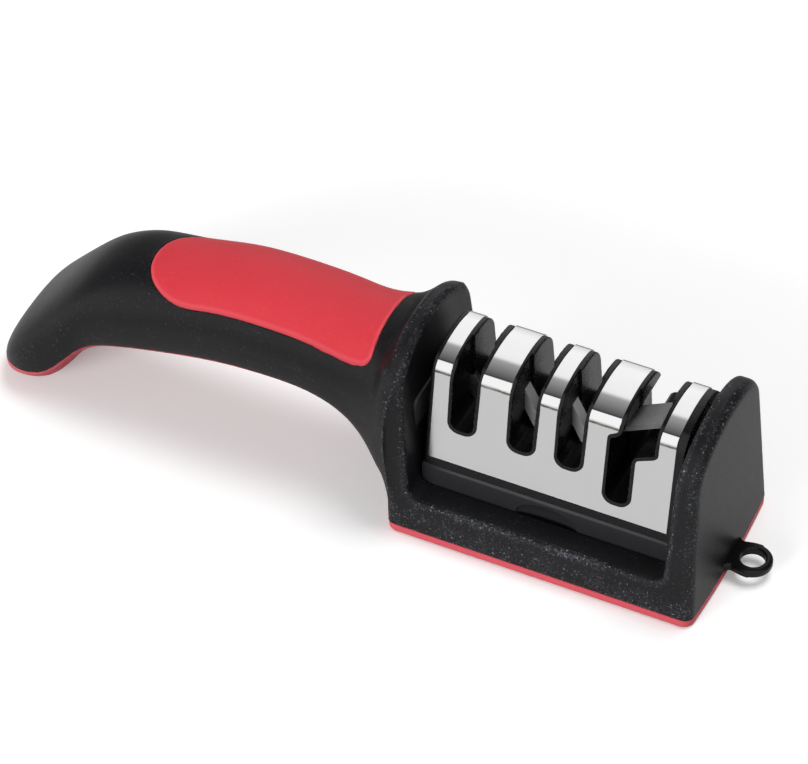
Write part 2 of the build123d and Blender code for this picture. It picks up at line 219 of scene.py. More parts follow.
# Handle stations: share of the reach from the tail, then shares of the crest height for the top
# and the underside, the share of the greatest half width, and the red strip's height above the
# underside as a share of its height at the foot
station_shares = np.array([
    (0.000, 0.154, 0.010, 0.62, 0.60), (0.012, 0.209, 0.003, 0.79, 0.86),
    (0.036, 0.307, 0.000, 1.03, 1.00), (0.079, 0.431, 0.000, 1.16, 1.00),
    (0.131, 0.576, 0.025, 1.14, 1.00), (0.175, 0.686, 0.147, 1.08, 0.86),
    (0.228, 0.790, 0.293, 1.01, 0.66), (0.299, 0.876, 0.364, 0.99, 0.62),
    (0.412, 0.936, 0.422, 0.95, 0.66), (0.544, 1.003, 0.482, 0.95, 0.68),
    (0.676, 1.018, 0.505, 0.95, 0.66), (0.781, 1.009, 0.481, 0.95, 0.62),
    (0.861, 0.999, 0.390, 0.98, 0.55), (0.922, 1.018, 0.263, 1.13, 0.55),
    (0.970, 1.035, 0.132, 1.33, 0.55), (1.005, 1.045, 0.058, 1.46, 0.55),
])


def natural_spline(knots, values, at):
    """Smooth curve through the values, one column each, at new places along the knots."""
    n = len(knots)
    h = np.diff(knots)
    system = np.eye(n)
    right = np.zeros((n, values.shape[1]))
    for i in range(1, n - 1):
        system[i, i - 1:i + 2] = h[i - 1], 2 * (h[i - 1] + h[i]), h[i]
        right[i] = 6 * ((values[i + 1] - values[i]) / h[i] - (values[i] - values[i - 1]) / h[i - 1])
    bend = np.linalg.solve(system, right)
    i = np.clip(np.searchsorted(knots, at) - 1, 0, n - 2)
    t = (at - knots[i])[:, None]
    s = (knots[i + 1] - at)[:, None]
    hi = h[i][:, None]
    return (bend[i] * s ** 3 + bend[i + 1] * t ** 3) / (6 * hi) \
        + (values[i] / hi - bend[i] * hi / 6) * s + (values[i + 1] / hi - bend[i + 1] * hi / 6) * t


def lengths_along(points):
    """Length from the first point to each point of a line."""
    return np.concatenate([[0], np.cumsum(np.linalg.norm(np.diff(points, axis=0), axis=1))])


stations = station_shares * np.array([reach, crest, crest, handle_half, strip_foot])
stations[:, 0] += tail_x
run = lengths_along(stations[:, :4])
handle_line = natural_spline(run, stations, np.linspace(0, run[-1], 1600))


def along(x, column):
    """One of the handle's sizes at a place along it."""
    return np.interp(x, handle_line[:, 0], handle_line[:, column])


# Distance fields in millimetres, negative inside

# Ratio to a curve below which a point is deep inside, and a small number that keeps roots safe
deep = 0.3
tiny = 1e-9
least_grade = 1e-4


def meet(a, b, r):
    """Both a and b, with the edge between them rounded."""
    return np.minimum(-r, np.maximum(a, b)) + np.hypot(np.maximum(r + a, 0), np.maximum(r + b, 0))


def join(a, b, r):
    """Either a or b, with the valley between them filled round."""
    return np.maximum(r, np.minimum(a, b)) - np.hypot(np.maximum(r - a, 0), np.maximum(r - b, 0))


def ease(x, low, high):
    """Smooth step from 0 to 1."""
    t = np.clip((x - low) / (high - low), 0, 1)
    return t * t * (3 - 2 * t)


def box_field(x, y, z, low, high):
    return np.maximum.reduce([low[0] - x, x - high[0], low[1] - y, y - high[1], low[2] - z, z - high[2]])


def superellipse(u, v, power):
    """Ratio of each point to the unit curve, and its slopes along u and v."""
    r = np.maximum(u ** power + v ** power, tiny) ** (1 / power)
    return r, (u / r) ** (power - 1), (v / r) ** (power - 1)


def handle_ratio(x, y, z):
    top, under, wide = along(x, 1), along(x, 2), along(x, 3)
    middle, rise = (top + under) / 2, (top - under) / 2
    power = np.where(z > middle, top_power, under_power)
    r, du, dv = superellipse(np.abs(y) / wide, np.abs(z - middle) / rise, power)
    return r, du / wide, dv / rise, np.minimum(wide, rise)


def handle_field(x, y, z):
    r, dy, dz, small = handle_ratio(x, y, z)
    step = 0.2
    dx = (handle_ratio(x + step, y, z)[0] - handle_ratio(x - step, y, z)[0]) / (2 * step)
    grade = np.sqrt(dx ** 2 + dy ** 2 + dz ** 2)
    return np.where(r < deep, -0.7 * small, (r - 1) / np.maximum(grade, least_grade))


def capped_handle(x, y, z):
    """The handle, cut at its tail, at the floor and inside the collar."""
    body = handle_field(x, y, z)
    body = meet(body, tail_x - x, tail_edge)
    body = meet(body, -z, foot_edge)
    return np.maximum(body, x - base_left - cap_inset + cap_lean * z)


def profile_field(x, y, z):
    """Cross-section of the blocks: drafted sides and a rounded top."""
    height = np.where(x < pocket_middle, collar_height, end_height)
    line = half_width - side_slope * (z - pad_top)
    u = np.abs(y) / line
    r, du, dv = superellipse(u, np.maximum(z - height + crown_drop, 0) / crown_drop, crown_power)
    grade = np.hypot(du / line, du * u * side_slope / line + dv / crown_drop)
    return np.where(r < deep, -9.0, (r - 1) / np.maximum(grade, least_grade))


def window_field(x, y, z):
    """The open space over the rails, between the flared inner faces of the blocks."""
    tall = block_top - deck
    left = (pocket_left - collar_flare * (z - deck) / tall) - x
    right = x - (pocket_right + end_flare * (z - deck) / tall)
    return np.maximum(meet(left, deck - z, rail_corner), meet(right, deck - z, rail_corner))


def blocks_field(x, y, z):
    side = profile_field(x, y, z)
    end = x - (base_right + end_bulge * (1 - (y / half_width) ** 2) - end_lean / end_height * (z - pad_top))
    start = base_left - collar_lean * (z - pad_top) / (block_top - pad_top) - x
    body = meet(side, end, outer_edge)
    body = meet(body, start, outer_edge)
    body = meet(body, -window_field(x, y, z), inner_edge)
    return meet(body, pad_top - z, lower_edge)


def inlay_outline(x, y):
    """Field of the inlay's outline seen from above."""
    bend = inlay_left + inlay_nose
    middle = (bend + inlay_right) / 2
    t = np.maximum(x - middle, 0) / (inlay_right - middle)
    wide = inlay_half + inlay_flare * t ** 2
    r, du, dv = superellipse(np.maximum(bend - x, 0) / inlay_nose, np.abs(y) / wide, top_power)
    grade = np.hypot(du / inlay_nose, dv / wide)
    side = np.where(r < deep, -4.0, (r - 1) / np.maximum(grade, least_grade))
    end = x - (inlay_right - inlay_hollow * (1 - (y / (inlay_half + inlay_flare)) ** 2))
    return meet(side, end, inlay_corner)


def seam_field(x, z):
    """Everything below the seam along the handle's underside, up to the strip's end."""
    height = along(x, 2) + along(x, 4)
    step = 0.3
    grade = (along(x + step, 2) - along(x - step, 2)) / (2 * step)
    return np.maximum((z - height) / np.hypot(1, grade), x - (tail_x + strip_end * reach))


def outer_field(x, y, z):
    """The shell's outside: the handle and the blocks, blended where they meet."""
    hand = capped_handle(x, y, z)
    radius = (blend_low + blend_gain * ease(z, *blend_rise)) * (1 - blend_loss * ease(z, *blend_fall))
    body = join(hand, blocks_field(x, y, z), radius)
    limit = np.abs(y) - (half_width - side_slope * (z - pad_top) * blend_slope_share)
    body = meet(body, limit, blend_edge)
    in_window = np.maximum(window_field(x, y, z), pocket_left - window_reach - x)
    return np.maximum.reduce([body, -in_window, z - collar_height])


def plate_plan(x, y, gap):
    """The bottom plate seen from above, grown by a gap."""
    half = half_width - frame_skin + gap
    end = x - (frame_right + gap + end_bulge * (1 - (y / half) ** 2))
    return meet(np.abs(y) - half, np.maximum(frame_left - gap - x, end), plate_corner)


def shell_field(x, y, z):
    """The soft shell: its outside less the inlay, the red strip, the pocket and what it covers."""
    hand = handle_field(x, y, z)
    body = outer_field(x, y, z)
    pit = np.maximum.reduce([inlay_outline(x, y), -(hand + inlay_depth + inlay_seam), inlay_floor - z])
    body = meet(body, -pit, pit_edge)
    body = meet(body, -seam_field(x, z), seam_edge)
    low, high = (pocket_left, -pocket_half, frame_top), (pocket_right, pocket_half, 2 * block_top)
    body = meet(body, -box_field(x, y, z, low, high), pocket_edge)
    for left, right, half, top in (
        (frame_left, frame_right, frame_half, frame_top + frame_gap - hidden_gap),
        (frame_left - collar_post_reach + hidden_gap, frame_left + collar_post_thickness, post_half,
         collar_height - post_drop),
        (end_post_left, end_post_left + end_post_thickness, post_half, end_height - post_drop),
    ):
        side = half + hidden_gap
        low, high = (left - hidden_gap, -side, 0), (right + hidden_gap, side, top + hidden_gap)
        body = np.maximum(body, -box_field(x, y, z, low, high))
    body = np.maximum(body, -np.maximum(plate_plan(x, y, hidden_gap), z - plate_top))
    core_left, core_right = tail_x + core_tail_gap, base_left + core_lap
    core = np.maximum.reduce([hand + core_skin - hidden_gap, core_left - x, x - core_right])
    return np.maximum(body, -core)


def inlay_field(x, y, z):
    hand = handle_field(x, y, z)
    body = meet(hand - inlay_seam, inlay_outline(x, y) + inlay_seam, inlay_edge)
    return np.maximum.reduce([body, -(hand + inlay_depth), inlay_floor - z])


def strip_field(x, y, z):
    return meet(capped_handle(x, y, z), seam_field(x, z) + strip_gap, strip_edge)


def plate_field(x, y, z):
    """Bottom plate with the hanging ring on its end."""
    from_ring = np.hypot(x - ring_x, y)
    flare = np.clip(frame_right + neck_reach - x, 0, neck_flare_length)
    neck = np.maximum.reduce([
        np.abs(y) - neck_half - neck_flare * flare ** 2, x - ring_x, frame_right - neck_lap - x,
    ])
    tongue = join(from_ring - (ring_hole + ring_rim - ring_inset), neck, neck_blend)
    slab = np.abs(z - (pad_top + plate_top) / 2) - plate_thickness / 2
    ring = meet(meet(tongue, slab, ring_edge), ring_hole - from_ring, hole_edge)
    return np.minimum(meet(plate_plan(x, y, 0), slab, plate_edge), ring)


# Cartridge: its cross-section and its slots

def cover_outline():
    """Points across the cover, from its front foot over the crown to its back foot, with normals."""
    foot, shoulder = np.array([steel_low_half, steel_bottom]), np.array([steel_high_half, steel_shoulder])
    centre = np.array([0, steel_top - crown_radius])
    way = (shoulder - foot) / np.linalg.norm(shoulder - foot)
    inward = np.array([-way[1], way[0]])
    start = foot + fold_radius * inward
    b = np.dot(start - centre, way)
    c = np.dot(start - centre, start - centre) - (crown_radius - fold_radius) ** 2
    bend = start + (-b + math.sqrt(b * b - c)) * way
    low_angle = math.atan2(-inward[1], -inward[0])
    high_angle = math.atan2(*(bend - centre)[::-1])
    angles = np.linspace(low_angle, high_angle, 17)
    around = np.stack([np.cos(angles), np.sin(angles)], 1)
    angles = np.linspace(high_angle, math.pi / 2, 25)[1:]
    over = np.stack([np.cos(angles), np.sin(angles)], 1)
    points = np.concatenate([foot[None], bend + fold_radius * around, centre + crown_radius * over])
    normals = np.concatenate([around[:1], around, over])
    mirror = np.array([-1, 1])
    return (
        np.concatenate([points * mirror, points[-2::-1]]),
        np.concatenate([normals * mirror, normals[-2::-1]]),
    )


def rounded(points, radii):
    """An outline with its corners rounded."""
    out = []
    for i, (corner, radius) in enumerate(zip(points, radii)):
        corner = np.array(corner, float)
        if radius == 0:
            out.append(corner)
            continue
        a = np.array(points[i - 1], float) - corner
        b = np.array(points[(i + 1) % len(points)], float) - corner
        a, b = a / np.linalg.norm(a), b / np.linalg.norm(b)
        half = math.acos(np.clip(np.dot(a, b), -1, 1)) / 2
        middle = (a + b) / np.linalg.norm(a + b)
        centre = corner + radius / math.sin(half) * middle
        ends = [corner + radius / math.tan(half) * way - centre for way in (a, b)]
        first, last = (math.atan2(e[1], e[0]) for e in ends)
        sweep = (last - first + math.pi) % (2 * math.pi) - math.pi
        for t in np.linspace(0, 1, 9):
            angle = first + t * sweep
            out.append(centre + radius * np.array([math.cos(angle), math.sin(angle)]))
    return np.array(out)


def slot_outlines():
    """The four windows seen from the front, each from its top left corner round its floor."""
    top = steel_top + overrun
    floor = steel_bottom + slot_floor_rise
    high, low = slot_width / 2, slot_width / 2 - slot_taper
    outlines = []
    for x in slot_places:
        points = [(x - high, top), (x - low, floor), (x + low, floor), (x + high, top)]
        outlines.append(rounded(points, [0, slot_corner, slot_corner, 0]))
    left, right = scissor_left, scissor_left + scissor_width
    notch_left = left - scissor_undercut
    notch_right = notch_left + scissor_notch_width
    under = steel_bottom + scissor_undercut_rise
    shelf = steel_bottom + scissor_shelf_rise
    floor = steel_bottom + scissor_floor_rise
    points = [
        (left, top), (left, under + scissor_lean), (notch_left, under - scissor_lean), (notch_left, floor),
        (notch_right, floor), (notch_right, shelf - scissor_lean), (right, shelf + 2 * scissor_lean),
        (right, top),
    ]
    steps, floors = [scissor_corner] * 2, [slot_corner] * 2
    outlines.append(rounded(points, [0, *steps, *floors, *steps, 0]))
    return outlines


def polygon_field(outline, x, z):
    """Distance to a closed outline, negative inside."""
    best = np.full(x.shape, 1e9)
    inside = np.zeros(x.shape, bool)
    for (ax, az), (bx, bz) in zip(outline, np.roll(outline, -1, 0)):
        ex, ez = bx - ax, bz - az
        t = np.clip(((x - ax) * ex + (z - az) * ez) / (ex * ex + ez * ez), 0, 1)
        best = np.minimum(best, (x - ax - t * ex) ** 2 + (z - az - t * ez) ** 2)
        if ez != 0:
            inside ^= ((az > z) != (bz > z)) & (x < ex * (z - az) / ez + ax)
    return np.where(inside, -1, 1) * np.sqrt(best)


# The windows' field on a fine grid, read off later by position
slots_step = 0.1
slots_x = np.arange(pocket_left - 1, pocket_right + 1.2, slots_step)
slots_z = np.arange(tray_top - 1, steel_top + 3, slots_step)
slots_grid = np.minimum.reduce([
    polygon_field(outline, *np.meshgrid(slots_x, slots_z, indexing="ij")) for outline in slot_outlines()
])


def slots_field(x, z):
    u = np.clip((x - slots_x[0]) / slots_step, 0, len(slots_x) - 1.001)
    v = np.clip((z - slots_z[0]) / slots_step, 0, len(slots_z) - 1.001)
    i, j = u.astype(int), v.astype(int)
    u, v = u - i, v - j
    low = slots_grid[i, j] * (1 - u) + slots_grid[i + 1, j] * u
    high = slots_grid[i, j + 1] * (1 - u) + slots_grid[i + 1, j + 1] * u
    return low * (1 - v) + high * v


def cover_field(y, z):
    """Field of the cartridge's cross-section at the steel's outer face."""
    length = math.hypot(steel_low_half - steel_high_half, steel_rise)
    slope, tall = (steel_low_half - steel_high_half) / length, steel_rise / length
    side = (np.abs(y) - steel_low_half) * tall + (z - steel_bottom) * slope
    top = np.hypot(y, z - steel_top + crown_radius) - crown_radius
    return meet(side, top, fold_radius)


def cartridge_field(x, y, z, back):
    """One half of the slotted core: a proud rim round each slot and a recess for the steel."""
    skin = cover_field(y, z)
    ends = np.maximum(pocket_left + core_gap - x, x - pocket_right + core_gap)
    body = meet(skin - rim_proud, ends, rim_edge)
    slots = slots_field(x, z)
    body = meet(body, -(slots + rim_width + wall_step * back), slot_edge)
    recess = np.maximum.reduce([
        -(skin + steel_thickness), steel_left - x, x - steel_right, steel_bottom - z, -slots,
    ])
    body = meet(body, -recess, recess_edge)
    body = meet(body, (-y if back else y) + split_gap, split_edge)
    return np.maximum(body, tray_top - z)


# Meshes made from the fields

def gradient(field, p):
    h = 0.03
    n = np.empty_like(p)
    for i in range(3):
        d = np.zeros(3)
        d[i] = h
        n[:, i] = field(*(p + d).T) - field(*(p - d).T)
    return n / np.maximum(np.linalg.norm(n, axis=1, keepdims=True), tiny)


def bend_of(field, p):
    """How convex the surface is at each point, about one over the radius in millimetres."""
    h = 0.6
    total = -6 * field(*p.T)
    for i in range(3):
        d = np.zeros(3)
        d[i] = h
        total += field(*(p + d).T) + field(*(p - d).T)
    return total / h ** 2


def sampled(field, axes):
    """The field's values on a grid, a few layers at a time."""
    layers = 24
    values = np.empty([len(axis) for axis in axes])
    for start in range(0, len(axes[0]), layers):
        xs = axes[0][start:start + layers]
        values[start:start + len(xs)] = field(*np.meshgrid(xs, axes[1], axes[2], indexing="ij"))
    return values


def crossings(field, base, unit, va, vb):
    """The field's zero on each grid edge, which runs from its base by one unit."""
    ta, tb = np.zeros(len(base)), np.ones(len(base))
    for _ in range(4):
        t = np.clip(ta + (tb - ta) * va / (va - vb), 0, 1)
        t = 0.9 * t + 0.05 * (ta + tb)
        v = field(*(base + t[:, None] * unit).T)
        same = (v < 0) == (va < 0)
        ta, va = np.where(same, t, ta), np.where(same, v, va)
        tb, vb = np.where(same, tb, t), np.where(same, vb, v)
    t = np.clip(ta + (tb - ta) * va / (va - vb), 0, 1)
    return base + t[:, None] * unit


def settled(field, index, p, n, step):
    """One vertex for each cell, where the tangent planes at its crossings meet."""
    total = index.max() + 1

    def gather(weights):
        return np.bincount(index, weights, total)

    number = gather(np.ones(len(index)))
    mass = np.stack([gather(p[:, i]) / number for i in range(3)], 1)
    offset = np.sum(n * (p - mass[index]), 1)
    matrix = np.empty((total, 3, 3))
    for i in range(3):
        for j in range(3):
            matrix[:, i, j] = gather(n[:, i] * n[:, j]) / number
    right = np.stack([gather(n[:, i] * offset) / number for i in range(3)], 1)
    flatness = 0.04
    move = np.linalg.solve(matrix + flatness * np.eye(3), right[:, :, None])[:, :, 0]
    length = np.linalg.norm(move, axis=1, keepdims=True)
    verts = mass + move * np.minimum(1, 0.8 * step / np.maximum(length, tiny))
    smooth = np.linalg.eigvalsh(matrix)[:, 1] < flatness
    for _ in range(2):
        at = verts[smooth]
        pull = np.clip(field(*at.T), -0.2 * step, 0.2 * step)
        verts[smooth] = at - pull[:, None] * gradient(field, at)
    return verts


def contour(field, low, high, step):
    """Dual mesh of a field's zero surface, with its sharp edges kept; vertices in millimetres."""
    low = np.array(low, float)
    count = np.ceil((np.array(high) - low) / step).astype(int) + 1
    values = sampled(field, [low[i] + step * np.arange(count[i]) for i in range(3)])
    points, normals, quads = [], [], []
    shape = count - 1
    for axis in range(3):
        lower = [slice(None)] * 3
        upper = [slice(None)] * 3
        lower[axis], upper[axis] = slice(None, -1), slice(1, None)
        a, b = values[tuple(lower)], values[tuple(upper)]
        found = np.argwhere((a < 0) != (b < 0))
        keep = np.all((found > 0) | (np.arange(3) == axis), axis=1)
        found = found[keep & np.all((found < shape) | (np.arange(3) == axis), axis=1)]
        va, vb = a[tuple(found.T)], b[tuple(found.T)]
        p = crossings(field, low + found * step, np.eye(3)[axis] * step, va, vb)
        points.append(np.repeat(p, 4, 0))
        normals.append(np.repeat(gradient(field, p), 4, 0))
        others = [i for i in range(3) if i != axis]
        ring = []
        for du, dv in ((0, 0), (1, 0), (1, 1), (0, 1)):
            cell = found.copy()
            cell[:, others[0]] -= du
            cell[:, others[1]] -= dv
            ring.append(np.ravel_multi_index(cell.T, shape))
        quads.append((np.stack(ring, 1), va < 0 if axis != 1 else va >= 0))
    index = np.unique(np.concatenate([ring.ravel() for ring, _ in quads]), return_inverse=True)[1]
    verts = settled(field, index, np.concatenate(points), np.concatenate(normals), step)
    faces = index.reshape(-1, 4)
    forward = np.concatenate([outward for _, outward in quads])
    return verts, np.where(forward[:, None], faces, faces[:, ::-1])


def shaded(mesh, angle):
    """An object of a new mesh, smooth but for edges sharper than the angle."""
    mesh.validate()
    mesh.polygons.foreach_set("use_smooth", np.ones(len(mesh.polygons), bool))
    mesh.set_sharp_from_angle(angle=math.radians(angle))
    obj = bpy.data.objects.new(mesh.name, mesh)
    bpy.context.scene.collection.objects.link(obj)
    return obj


def field_piece(name, field, box, step, angle, edge_field=None):
    """A piece meshed from its field, with how convex its edges are as an attribute where asked, for wear
    and painted edge highlights.
    """
    verts, faces = contour(field, *box, step)
    mesh = bpy.data.meshes.new(name)
    mesh.vertices.add(len(verts))
    mesh.vertices.foreach_set("co", (verts * MM).astype(np.float32).ravel())
    mesh.loops.add(faces.size)
    mesh.loops.foreach_set("vertex_index", faces.astype(np.int32).ravel())
    mesh.polygons.add(len(faces))
    mesh.polygons.foreach_set("loop_start", (np.arange(len(faces)) * faces.shape[1]).astype(np.int32))
    mesh.update(calc_edges=True)
    obj = shaded(mesh, angle)
    if edge_field is not None:
        co = np.empty(len(mesh.vertices) * 3, np.float32)
        mesh.vertices.foreach_get("co", co)
        bend = bend_of(edge_field, co.reshape(-1, 3).astype(float) / MM)
        # Convexity at each vertex, which the rubber looks turn into wear, painted edge highlights and
        # painted glints
        attribute = mesh.attributes.new("edge", "FLOAT", "POINT")
        attribute.data.foreach_set("value", np.clip((bend - 0.12) / 0.5, 0, 1).astype(np.float32))
    return obj


# The folded steel cover, drawn on the flattened sheet

def sheet_hole(outline, profile, along_sheet):
    """One window on the flat sheet: its outline in front, and the same again mirrored behind."""
    middle = len(profile) // 2
    left_top, right_top = (
        a[0] + (b[0] - a[0]) * (a[1] - steel_top) / (a[1] - b[1])
        for a, b in ((outline[0], outline[1]), (outline[-1], outline[-2]))
    )
    front = [(left_top, along_sheet[middle])]
    front += [
        (x, np.interp(z, profile[:middle + 1, 1], along_sheet[:middle + 1])) for x, z in outline[1:-1]
    ]
    front.append((right_top, along_sheet[middle]))
    return np.array(front + [(x, along_sheet[-1] - s) for x, s in front[1:-1]][::-1])


def sheet_triangles(holes, rows, full):
    """Triangles of the flat sheet between its border, its holes and the rows of its folds."""
    verts = [(steel_left, 0), (steel_right, 0), (steel_right, full), (steel_left, full)]
    edges = [(0, 1), (1, 2), (2, 3), (3, 0)]
    for hole in holes:
        first = len(verts)
        verts += [tuple(p) for p in hole]
        edges += [(first + i, first + (i + 1) % len(hole)) for i in range(len(hole))]
    for s in rows:
        first = len(verts)
        verts += [(steel_left, s), (steel_right, s)]
        edges.append((first, first + 1))
    flat = delaunay_2d_cdt([Vector(v) for v in verts], edges, [], 0, 1e-6)
    plan = np.array([tuple(v) for v in flat[0]])
    tris = np.array([tuple(f) for f in flat[2]])
    centres = plan[tris].mean(1)
    keep = np.ones(len(tris), bool)
    for hole in holes:
        keep &= polygon_field(hole, centres[:, 0], centres[:, 1]) > 0
    tris = tris[keep]
    a, b, c = (plan[tris[:, i]] for i in range(3))
    area = (b[:, 0] - a[:, 0]) * (c[:, 1] - a[:, 1]) - (b[:, 1] - a[:, 1]) * (c[:, 0] - a[:, 0])
    return plan, np.where((area > 0)[:, None], tris, tris[:, ::-1])[np.abs(area) > tiny]


def rim_of(plan, tris):
    """The sheet's cut edges, and a step of the chamfer's width inwards from them."""
    sides = np.concatenate([tris[:, [0, 1]], tris[:, [1, 2]], tris[:, [2, 0]]])
    known = {tuple(e) for e in sides.tolist()}
    rim = np.array([e for e in sides.tolist() if (e[1], e[0]) not in known])
    way = plan[rim[:, 1]] - plan[rim[:, 0]]
    way = np.stack([-way[:, 1], way[:, 0]], 1) / np.linalg.norm(way, axis=1, keepdims=True)
    shift = np.zeros_like(plan)
    for column in (0, 1):
        np.add.at(shift, rim[:, column], way)
    length = np.linalg.norm(shift, axis=1, keepdims=True)
    return rim, np.where(length > 0.2, shift / np.maximum(length, tiny) ** 2 * 2, 0) * chamfer


def steel_sheet():
    """The folded cover as a thin sheet with clean faces and a fine chamfer at its cut edges."""
    profile, normals = cover_outline()
    along_sheet = lengths_along(profile)
    full = along_sheet[-1]
    holes = [sheet_hole(outline, profile, along_sheet) for outline in slot_outlines()]
    rows = [
        *np.linspace(0, along_sheet[1], 9)[1:-1], *along_sheet[1:-1],
        *np.linspace(along_sheet[-2], full, 9)[1:-1],
    ]
    plan, tris = sheet_triangles(holes, rows, full)
    rim, shift = rim_of(plan, tris)

    def lifted(points, depth):
        """Points of the flat sheet folded into place, at a depth below its outer face."""
        yz = np.stack([np.interp(points[:, 1], along_sheet, profile[:, i]) for i in (0, 1)], 1)
        n = np.stack([np.interp(points[:, 1], along_sheet, normals[:, i]) for i in (0, 1)], 1)
        yz = yz - depth * n / np.linalg.norm(n, axis=1, keepdims=True)
        return np.stack([points[:, 0], yz[:, 0], yz[:, 1]], 1)

    total = len(plan)
    inner_face = steel_thickness - steel_gap
    places = np.concatenate([lifted(plan + shift, 0.0), lifted(plan, chamfer), lifted(plan, inner_face)])
    faces = tris.tolist() + (tris[:, ::-1] + 2 * total).tolist()
    for i, j in rim.tolist():
        faces.append([j, i, i + total, j + total])
        faces.append([j + total, i + total, i + 2 * total, j + 2 * total])
    used = np.unique(np.concatenate([np.array(f) for f in faces]))
    renumber = -np.ones(3 * total, int)
    renumber[used] = np.arange(len(used))
    mesh = bpy.data.meshes.new("steel_cover_sheet")
    mesh.from_pydata((places[used] * MM).tolist(), [], [[int(renumber[i]) for i in f] for f in faces])
    return shaded(mesh, 30)


# Node materials

class Look:
    """A small helper that builds one Principled material."""

    def __init__(self, name):
        self.material = bpy.data.materials.new(name)
        self.material.use_nodes = True
        self.tree = self.material.node_tree
        self.shader = self.tree.nodes["Principled BSDF"]
        self.place = self.tree.nodes.new("ShaderNodeTexCoord").outputs["Object"]

    def node(self, kind, *inputs, **settings):
        node = self.tree.nodes.new(kind)
        for key, value in settings.items():
            setattr(node, key, value)
        for slot, value in enumerate(inputs):
            if isinstance(value, bpy.types.NodeSocket):
                self.tree.links.new(value, node.inputs[slot])
            elif value is not None:
                node.inputs[slot].default_value = value
        return node.outputs[0]

    def scaled(self, x, y=None, z=None):
        """Object coordinates in millimetres, times a number for each axis."""
        y, z = (x if v is None else v for v in (y, z))
        node = self.tree.nodes.new("ShaderNodeMapping")
        self.tree.links.new(self.place, node.inputs[0])
        node.inputs["Scale"].default_value = (1000 * x, 1000 * y, 1000 * z)
        return node.outputs[0]

    def noise(self, vector, detail, rough):
        node = self.tree.nodes.new("ShaderNodeTexNoise")
        self.tree.links.new(vector, node.inputs["Vector"])
        node.inputs["Scale"].default_value = 1.0
        node.inputs["Detail"].default_value = detail
        node.inputs["Roughness"].default_value = rough
        return node.outputs[0]

    def remap(self, value, a, b, c, d):
        """The value with the range from a to b turned into the range from c to d."""
        node = self.tree.nodes.new("ShaderNodeMapRange")
        self.tree.links.new(value, node.inputs[0])
        for slot, number in zip((1, 2, 3, 4), (a, b, c, d)):
            node.inputs[slot].default_value = number
        return node.outputs[0]

    def math(self, kind, a, b=0.0):
        return self.node("ShaderNodeMath", a, b, operation=kind)

    def mix(self, share, a, b):
        node = self.tree.nodes.new("ShaderNodeMix")
        node.data_type = "RGBA"
        for socket, value in ((node.inputs[0], share), (node.inputs[6], a), (node.inputs[7], b)):
            if isinstance(value, bpy.types.NodeSocket):
                self.tree.links.new(value, socket)
            else:
                socket.default_value = value if socket == node.inputs[0] else (*value, 1.0)
        return node.outputs[2]

    def split(self, out):
        """One of the object coordinates, in millimetres."""
        node = self.tree.nodes.new("ShaderNodeSeparateXYZ")
        self.tree.links.new(self.scaled(1), node.inputs[0])
        return node.outputs[out]

    def split_world(self, out):
        """One of the world coordinates, in metres."""
        place = self.tree.nodes.new("ShaderNodeNewGeometry").outputs["Position"]
        node = self.tree.nodes.new("ShaderNodeSeparateXYZ")
        self.tree.links.new(place, node.inputs[0])
        return node.outputs[out]

    def attribute(self, name):
        node = self.tree.nodes.new("ShaderNodeAttribute")
        node.attribute_name = name
        return node.outputs["Fac"]

    def bump(self, height, distance, strength):
        node = self.tree.nodes.new("ShaderNodeBump")
        self.tree.links.new(height, node.inputs["Height"])
        node.inputs["Strength"].default_value = strength
        node.inputs["Distance"].default_value = distance * MM
        return node.outputs[0]

    def set(self, **values):
        for key, value in values.items():
            socket = self.shader.inputs[key.replace("_", " ")]
            if isinstance(value, bpy.types.NodeSocket):
                self.tree.links.new(value, socket)
            elif isinstance(value, tuple):
                socket.default_value = (*value, 1.0)
            else:
                socket.default_value = value
        return self.material


def rubber_black():
    look = Look("black_rubber_grained")
    grain = look.noise(look.scaled(2.4), 4.0, 0.62)
    coarse = look.noise(look.scaled(0.45), 3.0, 0.5)
    cloud = look.noise(look.scaled(0.05), 3.0, 0.55)
    patch = look.remap(look.noise(look.scaled(0.16), 4.0, 0.6), 0.42, 0.66, 0.15, 1.0)
    specks = look.remap(look.noise(look.scaled(1.7), 3.0, 0.7), 0.61, 0.69, 0.0, 1.0)
    edge = look.attribute("edge")
    ragged = look.remap(look.noise(look.scaled(1.5), 5.0, 0.75), 0.46, 0.62, 0.0, 1.0)
    # Convex edges in ragged patches, made lighter, bluish and a little smoother below: partly real wear and
    # partly painted edge highlight
    edge_wear_and_highlight = look.math("MULTIPLY", look.math("MULTIPLY", edge, patch), ragged)
    crowd = look.math("ADD", look.math("MULTIPLY", patch, 0.26), look.math("MULTIPLY", edge, 1.2))
    # Painted glints: bright bluish specks, crowded on the convex edges and in patches, standing in for the
    # sparkle of the grain
    glint_dots = look.math("MULTIPLY", specks, crowd)
    tone = look.mix(cloud, (0.0038, 0.0039, 0.0044), (0.0072, 0.0073, 0.0086))
    # Painted edge highlight together with wear: a light bluish tone on the convex edges
    tone = look.mix(look.math("MULTIPLY", edge_wear_and_highlight, 0.8), tone, (0.085, 0.088, 0.102))
    # Painted glints mixed into the base colour
    tone = look.mix(look.math("MULTIPLY", glint_dots, 0.75), tone, (0.34, 0.35, 0.38))
    rough = look.math("ADD", look.remap(coarse, 0.3, 0.7, 0.4, 0.43), look.math("MULTIPLY", edge_wear_and_highlight, -0.08))
    normal = look.bump(grain, 0.028, 0.85)
    return look.set(Base_Color=tone, Roughness=rough, Normal=normal, Specular_IOR_Level=0.21)


